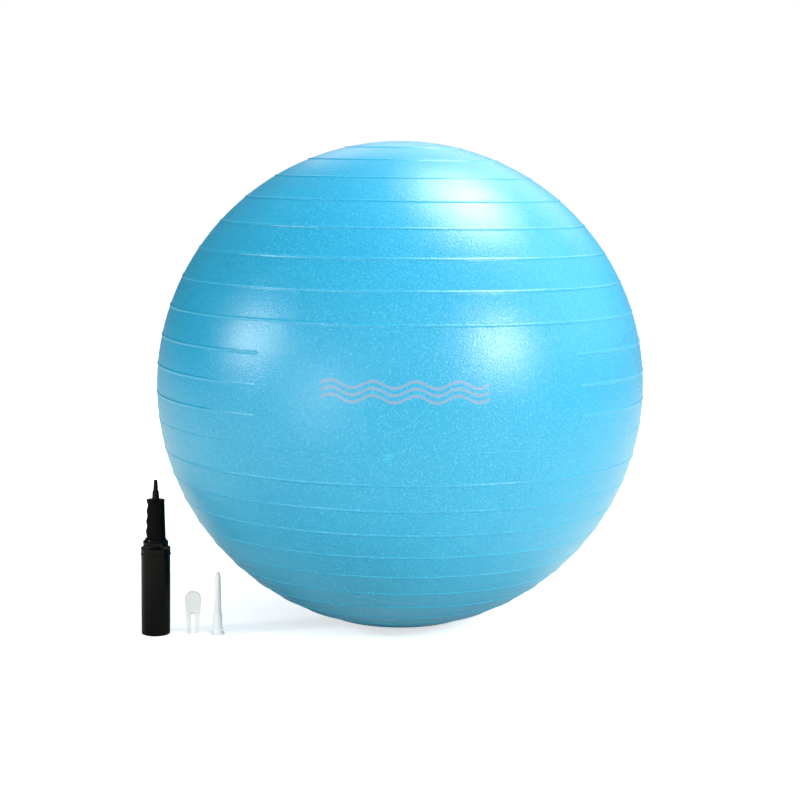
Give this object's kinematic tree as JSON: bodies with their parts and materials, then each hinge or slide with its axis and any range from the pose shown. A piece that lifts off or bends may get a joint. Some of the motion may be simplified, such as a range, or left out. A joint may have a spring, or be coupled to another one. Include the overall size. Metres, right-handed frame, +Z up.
{
  "type": "exercise ball",
  "caption": "Ribbed inflatable exercise ball with a smooth panel and a plug valve, beside its hand pump, fork-shaped plug puller and tapered adaptor tube.",
  "frame": {"origin": "on the floor under the ball's centre, in the middle of the flat that the ball rests on", "axes": "+Z up; -Y towards the ball's smooth front panel, +Y along the valve plug's way out; the accessories stand on the -X side"},
  "size_m": [0.6628, 0.6528, 0.6486],
  "materials": {
    "ball_vinyl": "pearl gloss vinyl",
    "valve_vinyl": "satin vinyl",
    "white_plastic": "satin moulded",
    "soft_white_plastic": "satin, slightly milky",
    "pump_plastic": "gloss moulded",
    "grip_plastic": "satin gloss moulded",
    "rod_plastic": "drawn tube, satin",
    "inner_plastic": "natural, satin",
    "seal_rubber": "matt, greased"
  },
  "bodies": {
    "ball": {"ball_skin": "ball_vinyl", "valve_seat": "valve_vinyl"},
    "plug": {"valve_plug": "white_plastic"},
    "pump_barrel": {"pump_barrel": "pump_plastic", "barrel_cap": "pump_plastic", "rod_bush": "inner_plastic"},
    "pump_rod": {"rod_tube": "rod_plastic", "piston_head": "inner_plastic", "piston_cup": "seal_rubber", "piston_washer": "inner_plastic", "piston_nut": "inner_plastic", "bumper_ring": "seal_rubber"},
    "check_disc": {"check_disc": "seal_rubber"},
    "pump_handle": {"check_cage": "inner_plastic", "grip_collar": "pump_plastic", "grip_body": "grip_plastic", "grip_cap": "grip_plastic", "pump_nozzle": "pump_plastic", "nozzle_seal": "seal_rubber"},
    "puller": {"plug_puller": "white_plastic"},
    "adaptor": {"adaptor_tube": "soft_white_plastic"}
  },
  "joints": [
    {"name": "plug_pull", "type": "slide", "parent": "ball", "child": "plug", "axis": [0, 1, 0], "range_m": [0, 0.035]},
    {"name": "pump_lift", "type": "slide", "parent": "ball", "child": "pump_barrel", "axis": [0, -0.7071, 0.7071], "range_m": [0, 0.15]},
    {"name": "pump_stroke", "type": "slide", "parent": "pump_barrel", "child": "pump_rod", "axis": [0, 0, 1], "range_m": [0, 0.076]},
    {"name": "handle_spin", "type": "hinge", "parent": "pump_rod", "child": "pump_handle", "pos_m": [-0.31677, -0.096, 0.12], "axis": [0, 0, 1], "continuous": true},
    {"name": "check_lift", "type": "slide", "parent": "pump_rod", "child": "check_disc", "axis": [0, 0, 1], "range_m": [0, 0.0012]},
    {"name": "puller_lift", "type": "slide", "parent": "ball", "child": "puller", "axis": [0, -0.7071, 0.7071], "range_m": [0, 0.12]},
    {"name": "adaptor_lift", "type": "slide", "parent": "ball", "child": "adaptor", "axis": [0, -0.7071, 0.7071], "range_m": [0, 0.12]}
  ]
}
